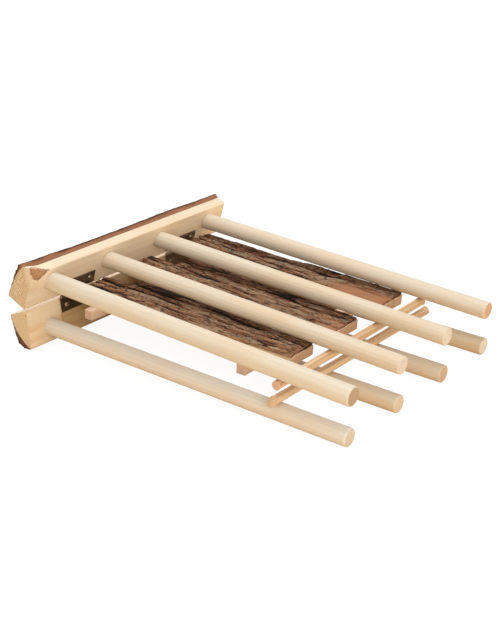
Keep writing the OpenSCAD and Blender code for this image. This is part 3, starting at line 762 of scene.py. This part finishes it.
def turned(name, stations, radii, centre, place, seed, uneven=0.04):
    """A round piece, a little uneven, with a radius at each station; centre() sets its rings in place."""
    turn = np.linspace(0, 2 * math.pi, ROUND, endpoint=False)
    rings = []
    for s, r in zip(stations, radii):
        bump = uneven * (noise(s / 40, np.cos(turn) * 1.2, np.sin(turn) * 1.2 + seed) - 1)
        reach = r + bump * (r > 1)
        rings.append(centre(s, reach * np.cos(turn), reach * np.sin(turn)))
    return solid(name, *loft(rings), place)


def tip(end, radius, rim, steps=6):
    """Stations and radii that round off a bar's end, then close it nearly flat."""
    bend = np.linspace(0, math.pi / 2, steps)
    stations = list(end - rim + rim * np.sin(bend))
    radii = list(radius - rim + rim * np.cos(bend))
    return stations + [end] * 3, radii + [0.66 * (radius - rim), 0.33 * (radius - rim), 0.05]


# Colours of the bars' sides, as a share of the plain wood's, and of their cut ends, with painted light and
# shade
BAR_TINTS_AND_SHADE = {
    1: ((1.0, 0.99, 0.96), (0.99, 0.96, 0.92), (0.98, 0.96, 0.92), (0.98, 0.96, 0.93)),
    # painted light and shade: the lower bars are lighter or darker one by one, by how much light reaches
    # each
    -1: ((1.049, 1.086, 1.153), (0.93, 0.906, 0.864), (0.9, 0.855, 0.799), (0.84, 0.762, 0.648)),
}
END_TINTS_AND_SHADE = {
    # painted shade: upper bar 1's cut end is darkened against the front fill lamp's strong light
    1: ((0.44, 0.32, 0.22), (0.72, 0.68, 0.63), (0.76, 0.71, 0.64), (0.66, 0.43, 0.26)),
    -1: ((0.67, 0.6, 0.52), (0.7, 0.6, 0.48), (0.62, 0.46, 0.32), (0.78, 0.73, 0.66)),
}


def round_bar(i, side):
    """A bar from its root in the log to its rounded tip, with its own place in a tree and own tints, which
    carry painted light and shade.
    """
    name = f"{'upper' if side > 0 else 'lower'}_bar_{i + 1}"
    r, z, root = bar_radius(i, side), side * bar_height(i, side), bar_root(i, side)
    rim = TIP_ROUND * TIP_WEAR[i]
    shank = list(np.linspace(root, BAR_REACH - rim - 1, 36))
    ends, end_radii = tip(BAR_REACH, r, rim)

    def centre(s, a, b):
        return np.stack([np.full_like(a, s), i * BAR_PITCH + a, z + b], -1)

    obj = turned(name, shank + ends, [r] * len(shank) + end_radii, centre, RACK[side], 5 * i + side)
    off = np.random.default_rng(20 + 4 * i + side).uniform(-1, 1, 3)
    grain(obj, 0, (i * BAR_PITCH + 14 * off[0] + 6, z + 14 * off[1] - 4), 3 * off[2])
    for layer, tints in (("tint", BAR_TINTS_AND_SHADE), ("end_tint", END_TINTS_AND_SHADE)):
        mark(obj, layer, np.tile(tints[side][i], (len(obj.data.vertices), 1)))
    fit(obj, bar_wood, BODY[side], "bar_wood", name)


for i, side in itertools.product(range(4), (1, -1)):
    round_bar(i, side)


def cross_stick(name, side, start, end, z, lean=0.0):
    """A thin peeled stick, not quite straight or even, that touches its bars; lean slopes its near end."""
    r, rim = STICK_R, 0.5
    ends, end_radii = tip(end, r, rim)
    starts, start_radii = tip(-start, r, rim)
    body = np.linspace(start + rim + 1, end - rim - 1, 60)
    stations = [-s for s in starts[::-1]] + list(body) + ends
    radii = start_radii[::-1] + [r - 0.22 * (1 + noise(s / 22, 3.0 + side)) for s in body] + end_radii

    def centre(s, a, b):
        reach = np.hypot(a, b).max()
        bend = 0.5 * noise(s / 55, 8.0 * side, 2.0)
        touch = side * (r - reach) if reach > r - 1 else 0.0
        leaned = np.clip((start + 10 - s) / 10, 0, 1) * lean * b
        return np.stack([STICK_REACH + bend + a, s + leaned, z + touch + b], -1)

    obj = turned(name, stations, radii, centre, RACK[side], 30 + side, uneven=0.14)
    grain(obj, 1, (STICK_REACH + 0.8, z - 0.6))
    fit(obj, stick_wood, BODY[side], "stick_wood", name)


cross_stick("upper_cross_stick", 1, -5.0, 210.0, UPPER_STICK_Z)
cross_stick("lower_cross_stick", -1, -9.0, 218.5, LOWER_STICK_Z, lean=1 / math.tan(STICK_CUT))


# ---- Hinge screws ----

def screw_skin():
    """Points and faces of a domed screw with a cross cut in its head; z points out of the wood."""
    turn = np.linspace(0, 2 * math.pi, 48, endpoint=False)
    dome = (SCREW_HEAD_R**2 + SCREW_HEAD_H**2) / (2 * SCREW_HEAD_H)
    shank = ((0.3 * SCREW_R, -SCREW_LEN), (SCREW_R, -SCREW_LEN + 1.5), (SCREW_R, LEAF_T))
    rings = [[(r * math.cos(t), r * math.sin(t), z) for t in turn] for r, z in shank]
    for share in np.concatenate([[1.0], np.linspace(0.97, 0.02, 22)]):
        r = SCREW_HEAD_R * share
        z = LEAF_T + SCREW_HEAD_H - dome + math.sqrt(dome**2 - r**2)
        ring = []
        for t in turn:
            x, y = r * math.cos(t), r * math.sin(t)
            narrow, long = min(abs(x), abs(y)), max(abs(x), abs(y))
            cut = smooth((SLOT_HALF - narrow) / 0.12) * smooth((SLOT_REACH - long) / 0.25)
            ring.append((x, y, z - SLOT_DEEP * cut))
        rings.append(ring)
    return loft(rings)


def hinge_screws(name, side, lean):
    """The four screws of a rack's two hinge leaves, square to the log's leaning front."""
    skin, skin_faces = screw_skin()
    points, faces = [], []
    for k, (mid, end) in enumerate(itertools.product((0.5 * BAR_PITCH, 2.5 * BAR_PITCH), (-1, 1))):
        stand = Matrix.Rotation(lean, 4, "Y") @ Matrix.Translation((-FACE_BACK, 0, SCREW_RISE))
        stand = stand @ Matrix.Rotation(math.pi / 2, 4, "Y") @ Matrix.Rotation(SCREW_SPIN[k], 4, "Z")
        moved = np.array([stand @ Vector(p) for p in skin])
        moved[:, 2] *= side
        moved[:, 1] += mid + end * (HINGE_LEN / 2 - SCREW_INSET)
        faces += [tuple(v + len(points) * len(skin) for v in face) for face in skin_faces]
        points.append(moved)
    obj = solid(name, np.vstack(points), faces, RACK[side], SCREW_EDGE)
    fit(obj, screw_metal, BODY[side], "screw_metal", name)


hinge_screws("upper_hinge_screws", 1, UPPER_LEAN)
hinge_screws("lower_hinge_screws", -1, LOWER_LEAN)


# ---- Loose panel ----

def slat_top(i, s, x):
    """Height of a slat's bark before its relief, at a share s of its width and x along it."""
    t = x / SLAT_LEN
    far_fall = 0.17 - 0.23 * smooth((x - 85) / 50) if i == 2 else 0.02
    arch = 1 - np.where(s < 0.5, 0.3, far_fall) * np.abs(2 * s - 1) ** 8
    return (SLAT_H + SLAT_SWELL[i] * (1 - t) ** 3) * arch * (1 - 0.035 * (1 + wander(6 * t + 5 * s, i + 3)))


def slat_side(i, s, x):
    """How far across a slat a share s of its width is; the slat narrows to a neck at the log."""
    out = smooth((x - SLAT_NECK_LEN) / (0.25 * SLAT_NECK_LEN))
    drawn = (x - SLAT_NECK_LEN) / (SLAT_LEN - SLAT_NECK_LEN)
    width = SLAT_NECK_W[i] * (1 - out) + (SLAT_W[i] + (SLAT_TIP_W[i] - SLAT_W[i]) * drawn) * out
    lean = wander(0.05 * x, i + np.where(s < 0.5, 1, 8))
    return SLAT_RUN[i] * x / SLAT_LEN + width * s + 0.02 * width * (s - 0.5) * lean


FURROWS, FURROW_DEPTH, FURROW_HALF = 3, 1.8, 2.4


def furrowed(i, s, x):
    """Depth of the source's furrows at a share of a slat's width."""
    half = FURROW_HALF / (slat_side(i, 1.0, x) - slat_side(i, 0.0, x))
    falls = []
    for k in range(1, FURROWS + 1):
        middle = k / (FURROWS + 1) + 0.05 * wander(x / 14, 7 * i + 3 * k)
        fall = FURROW_DEPTH * (0.62 + 0.38 * wander(x / 9, 5 * i + 2 * k))
        falls.append(fall * np.clip(1 - np.abs(s - middle) / half, 0, 1))
    return np.max(falls, axis=0)


def slat_outline(i, x, foot):
    """The slat's section from its near foot over the top to its far foot, and the share s at each point."""
    s = np.linspace(0, 1, 61)
    side, top = slat_side(i, s, x), slat_top(i, s, x)
    path = np.vstack([[(side[0], foot[0])], np.stack([side, top], -1), [(side[-1], foot[1])]])
    return np.column_stack([path, np.concatenate([[0], s, [1]])])


PEELED = (168, 205, 150)     # where along each slat its near side loses its bark
TORN = (210, 198, 152)       # where its outer bark has come off, down to the smooth inner bark
# painted shade: the next bar shades each slat's far side, so its bark is made darker there
FAR_SIDE_PAINTED_SHADE = (0.38, 0.34, 0.12)  # how much darker the bark on each slat's far side is
FOOT_TOP, FOOT_BOTTOM = 8.0, 0.4
MOST_RELIEF, SKIN_T = 2.4, 1.0
BARK_POINTS, HIDDEN_POINTS = 104, 22
NOTCHED, NOTCH_FROM, NOTCH_DEEP, NOTCH_AT, NOTCH_HALF = 2, 185.0, 6.5, 0.6, 0.022
SLAT_PITH = 22.0             # how far under a slat the pith lay


def bark_foot(i, x, far):
    """Height on a slat's side down to which its bark still holds; the near side is peeled farther out."""
    wandering = 2.2 + 2.0 * noise(x / 17, i + 0.3, 5.0 * far)
    peeled = smooth((x - PEELED[i]) / 12) * (not far)
    return float(np.clip(wandering * (1 - peeled) + FOOT_TOP * peeled, FOOT_BOTTOM, FOOT_TOP))


def slat_bark_ring(i, x, seed):
    """One section through a slat's bark: its points, and what its finish reads at each."""
    foot = bark_foot(i, x, 0), bark_foot(i, x, 1)
    path, t = resampled(slat_outline(i, x, foot), BARK_POINTS)
    outer, s = path[:, :2], path[:, 2]
    flank = smooth((outer[:, 1] - outer[:, 1].max() + 3.5) / 2.5)
    main = furrowed(i, s, x) * flank
    fine, cleft, rust = bark_relief(x, t, seed)
    ragged = x - TORN[i] + 16 * noise(x / 24, t / 2.2, seed + 12)
    torn = smooth(ragged / 18) * smooth((0.66 - s) / 0.2)
    fine = fine * (1 - 0.8 * torn) + 0.45 * torn
    near_edge = smooth((t + 0.3) / 1.0) * smooth((t[-1] - t + 0.3) / 1.0)
    depth = np.clip(1.2 * main + np.maximum(fine, 0) * (0.4 + 0.6 * flank), 0.0, MOST_RELIEF)
    depth = depth - 0.55 * (1 - flank)
    outer = outer + inward(outer) * (depth * near_edge)[:, None]
    # Painted shade: each slat's far side is marked lower, so darker, where the next bar shades it, fading
    # out towards the tip
    far_painted_shade = FAR_SIDE_PAINTED_SHADE[i] * smooth((s - 0.6) / 0.25) * (1 - smooth((x - 150) / 40))
    height = np.clip(1 - (main + 1.15 * fine + 0.5 * cleft) / DEEPEST - far_painted_shade, 0, 1)
    under = slat_outline(i, x, (0.0, 0.0))[:, :2]
    roof = under[:, 1].copy()
    under = under + inward(under) * SKIN_T
    under[:, 1] = np.minimum(under[:, 1], roof - DEEPEST)
    hidden, _ = resampled(under, HIDDEN_POINTS)
    hidden[:, 1] = np.maximum(hidden[:, 1], np.interp(np.linspace(0, 1, HIDDEN_POINTS), (0, 1), foot))
    seen = np.stack([height, rust, np.maximum(torn, 0.6 * (1 - flank))], -1)
    buried = np.tile((0.3, 0.5, 0.8), (HIDDEN_POINTS, 1))
    return np.vstack([outer, hidden[::-1]]), np.vstack([seen, buried])


def slat_wood_ring(i, x):
    """One section through a slat's wood, which lies inside the bark where the bark still holds."""
    s = np.linspace(0.02, 0.98, 34)
    top = np.maximum(slat_top(i, s, x) - SLAT_BARK_T, 1.5)
    if i == NOTCHED:
        notch = np.exp(-(((s - NOTCH_AT) / NOTCH_HALF) ** 2))
        top = top - smooth((x - NOTCH_FROM) / 25) * NOTCH_DEEP * notch
    bared = smooth((x - PEELED[i]) / 12)
    side = slat_side(i, s, x) + (0.9 - 0.85 * bared) * smooth((0.1 - s) / 0.08)
    foot = [(side[-1] - 0.4, 0.3), (side[-1] - 1.0, 0.0), (side[0] + 1.0, 0.0), (side[0] + 0.3, 0.3)]
    return np.vstack([np.stack([side, top], -1), foot])


def slat_pieces(i):
    """A slat's wood and its bark, whose two ends are ragged."""
    base = np.array((SLAT_START[i], SLAT_PLACE[i], SLAT_Z))
    pith = (SLAT_PLACE[i] + 0.5 * SLAT_TIP_W[i], SLAT_Z - SLAT_PITH)
    wood_rings, bark_rings, marks = [], [], []
    for x in np.linspace(0, SLAT_LEN, 56):
        ring = slat_wood_ring(i, x)
        wood_rings.append(np.column_stack([np.full(len(ring), x), ring]) + base)
    for x in np.linspace(0, SLAT_LEN, 292):
        ring, seen = slat_bark_ring(i, x, 11 * i + 20)
        at_end = abs(x - SLAT_LEN / 2) > SLAT_LEN / 2 - 2
        jag = 1.1 * (1 + noise(ring[:, 0] / 3, ring[:, 1] / 3, 50 + i)) * at_end
        bark_rings.append(np.column_stack([x + np.sign(SLAT_LEN / 2 - x) * jag, ring]) + base)
        marks.append(seen)
    obj = solid(f"slat_{i + 1}", *loft(wood_rings), LOWER_RACK)
    grain(obj, 0, pith)
    fit(obj, slat_wood, "panel", "slat_wood", f"slat_{i + 1}")
    obj = solid(f"slat_bark_{i + 1}", *loft(bark_rings), LOWER_RACK, BARK_EDGE)
    mark(obj, "bark", np.concatenate(marks))
    grain(obj, 0, pith)
    fit(obj, slat_bark, "panel", "slat_bark", f"slat_bark_{i + 1}")


for i in range(3):
    slat_pieces(i)


def batten(name):
    """A sawn square stick with its edges just broken, under the three slats."""
    reach = BATTEN_REACH[name]
    half, soft = BATTEN / 2, BATTEN_EDGE
    corner = np.array([(half - soft, half), (half - 0.3 * soft, half - 0.3 * soft), (half, half - soft)])
    section = []
    for quarter in range(4):
        c, s = math.cos(-quarter * math.pi / 2), math.sin(-quarter * math.pi / 2)
        section.append(corner @ np.array([(c, s), (-s, c)]))
    section = np.vstack(section)
    rings = []
    for y in (0, 0.4, *np.linspace(3, BATTEN_LEN - 3, 40), BATTEN_LEN - 0.4, BATTEN_LEN):
        draw = 0.35 if y in (0, BATTEN_LEN) else 0.0
        size = 1 - draw / half - 0.006 * (1 + noise(y / 20, 2.0, reach))
        middle = PANEL_FLOOR + half
        rings.append([(reach + a * size, BATTEN_START + y, middle + b * size) for a, b in section])
    obj = solid(name, *loft(rings), LOWER_RACK)
    grain(obj, 1, (reach - 9.0, PANEL_FLOOR + 15.0))
    fit(obj, batten_wood, "panel", "batten_wood", name)


for name in BATTEN_REACH:
    batten(name)


# ---- Studio ----

def floor_finish():
    """White for the camera, with a light shadow; plain pale ground for the light that bounces."""
    f = Finish("floor")
    seen = f.node("ShaderNodeLightPath", output="Is Camera Ray")
    ground = f.node("ShaderNodeBsdfDiffuse", None, {"Color": (0.85, 0.64, 0.4, 1.0)})
    shade = f.node("ShaderNodeBsdfDiffuse", None, {"Color": (0.1, 0.1, 0.1, 1.0)})
    glow = f.node("ShaderNodeEmission", None, {"Color": (1.0, 1.0, 1.0, 1.0), "Strength": 0.935})
    white = f.node("ShaderNodeAddShader", None, {0: shade, 1: glow})
    f.node_out(f.node("ShaderNodeMixShader", None, {0: seen, 1: ground, 2: white}))
    return f.material


FLOOR_HALF, FLOOR_DROP = 4000.0, 0.4
corners = [(a * FLOOR_HALF, b * FLOOR_HALF, 0) for a, b in ((-1, -1), (1, -1), (1, 1), (-1, 1))]
floor = solid("floor", corners, [(0, 1, 2, 3)], Matrix.Translation((0, 0, -FLOOR_DROP * MM)))
floor.data.materials.append(floor_finish())

world = bpy.data.worlds.new("studio")
bpy.context.scene.world = world
world.use_nodes = True
sky = world.node_tree
sky.nodes.clear()
path = sky.nodes.new("ShaderNodeLightPath")
room, white, pick, out = (sky.nodes.new(kind) for kind in (
    "ShaderNodeBackground", "ShaderNodeBackground", "ShaderNodeMixShader", "ShaderNodeOutputWorld"))
room.inputs["Color"].default_value = (1.0, 0.98, 0.95, 1.0)
room.inputs["Strength"].default_value = 0.76
white.inputs["Color"].default_value = (1.0, 1.0, 1.0, 1.0)
white.inputs["Strength"].default_value = 1.0
sky.links.new(path.outputs["Is Camera Ray"], pick.inputs[0])
sky.links.new(room.outputs[0], pick.inputs[1])
sky.links.new(white.outputs[0], pick.inputs[2])
sky.links.new(pick.outputs[0], out.inputs["Surface"])


def lamp(name, place, target, size, power, colour):
    """A square lamp that faces its target."""
    data = bpy.data.lights.new(name, "AREA")
    data.shape, data.size, data.energy, data.color = "SQUARE", size, power, colour
    obj = bpy.data.objects.new(name, data)
    bpy.context.scene.collection.objects.link(obj)
    obj.location = place
    obj.rotation_euler = (Vector(target) - Vector(place)).to_track_quat("-Z", "Y").to_euler()


lamp("overhead", (-0.15, 0.1, 1.3), (0.0, 0.0, 0.0), 0.7, 7.5, (1.0, 0.99, 0.985))
lamp("front_fill", (1.1, -0.8, 0.45), (0.0, 0.0, 0.02), 0.9, 9.0, (1.0, 0.94, 0.86))
lamp("back_glow", (-1.2, 0.5, 0.25), (0.0, 0.0, 0.02), 0.9, 7.0, (1.0, 0.98, 0.95))

# ---- Camera, placed from the photograph in the upper rack's frame ----

AZIMUTH, ELEVATION, ROLL = (math.radians(a) for a in (35.559, 24.687, 3.473))
CAMERA_PLACE = (707.26, -695.19, 442.92)
FOCUS_PX, IMAGE_WIDE, SENSOR = 1269.19, 502.0, 36.0
back = Vector((
    math.sin(AZIMUTH) * math.cos(ELEVATION), -math.cos(AZIMUTH) * math.cos(ELEVATION), math.sin(ELEVATION)
))
level = (-back).cross(Vector((0, 0, 1))).normalized()
upright = level.cross(-back)
right = level * math.cos(ROLL) + upright * math.sin(ROLL)
top = -level * math.sin(ROLL) + upright * math.cos(ROLL)
aim = Matrix((right, top, back)).transposed().to_4x4()
eye = bpy.data.cameras.new("camera")
eye.sensor_fit = "HORIZONTAL"
eye.sensor_width = SENSOR
eye.lens = FOCUS_PX / IMAGE_WIDE * SENSOR
eye.clip_start = 0.01
camera = bpy.data.objects.new("camera", eye)
bpy.context.scene.collection.objects.link(camera)
camera.matrix_world = UPPER_RACK @ Matrix.Translation(Vector(CAMERA_PLACE) * MM) @ aim
bpy.context.scene.camera = camera
bpy.context.scene.view_settings.view_transform = "Standard"
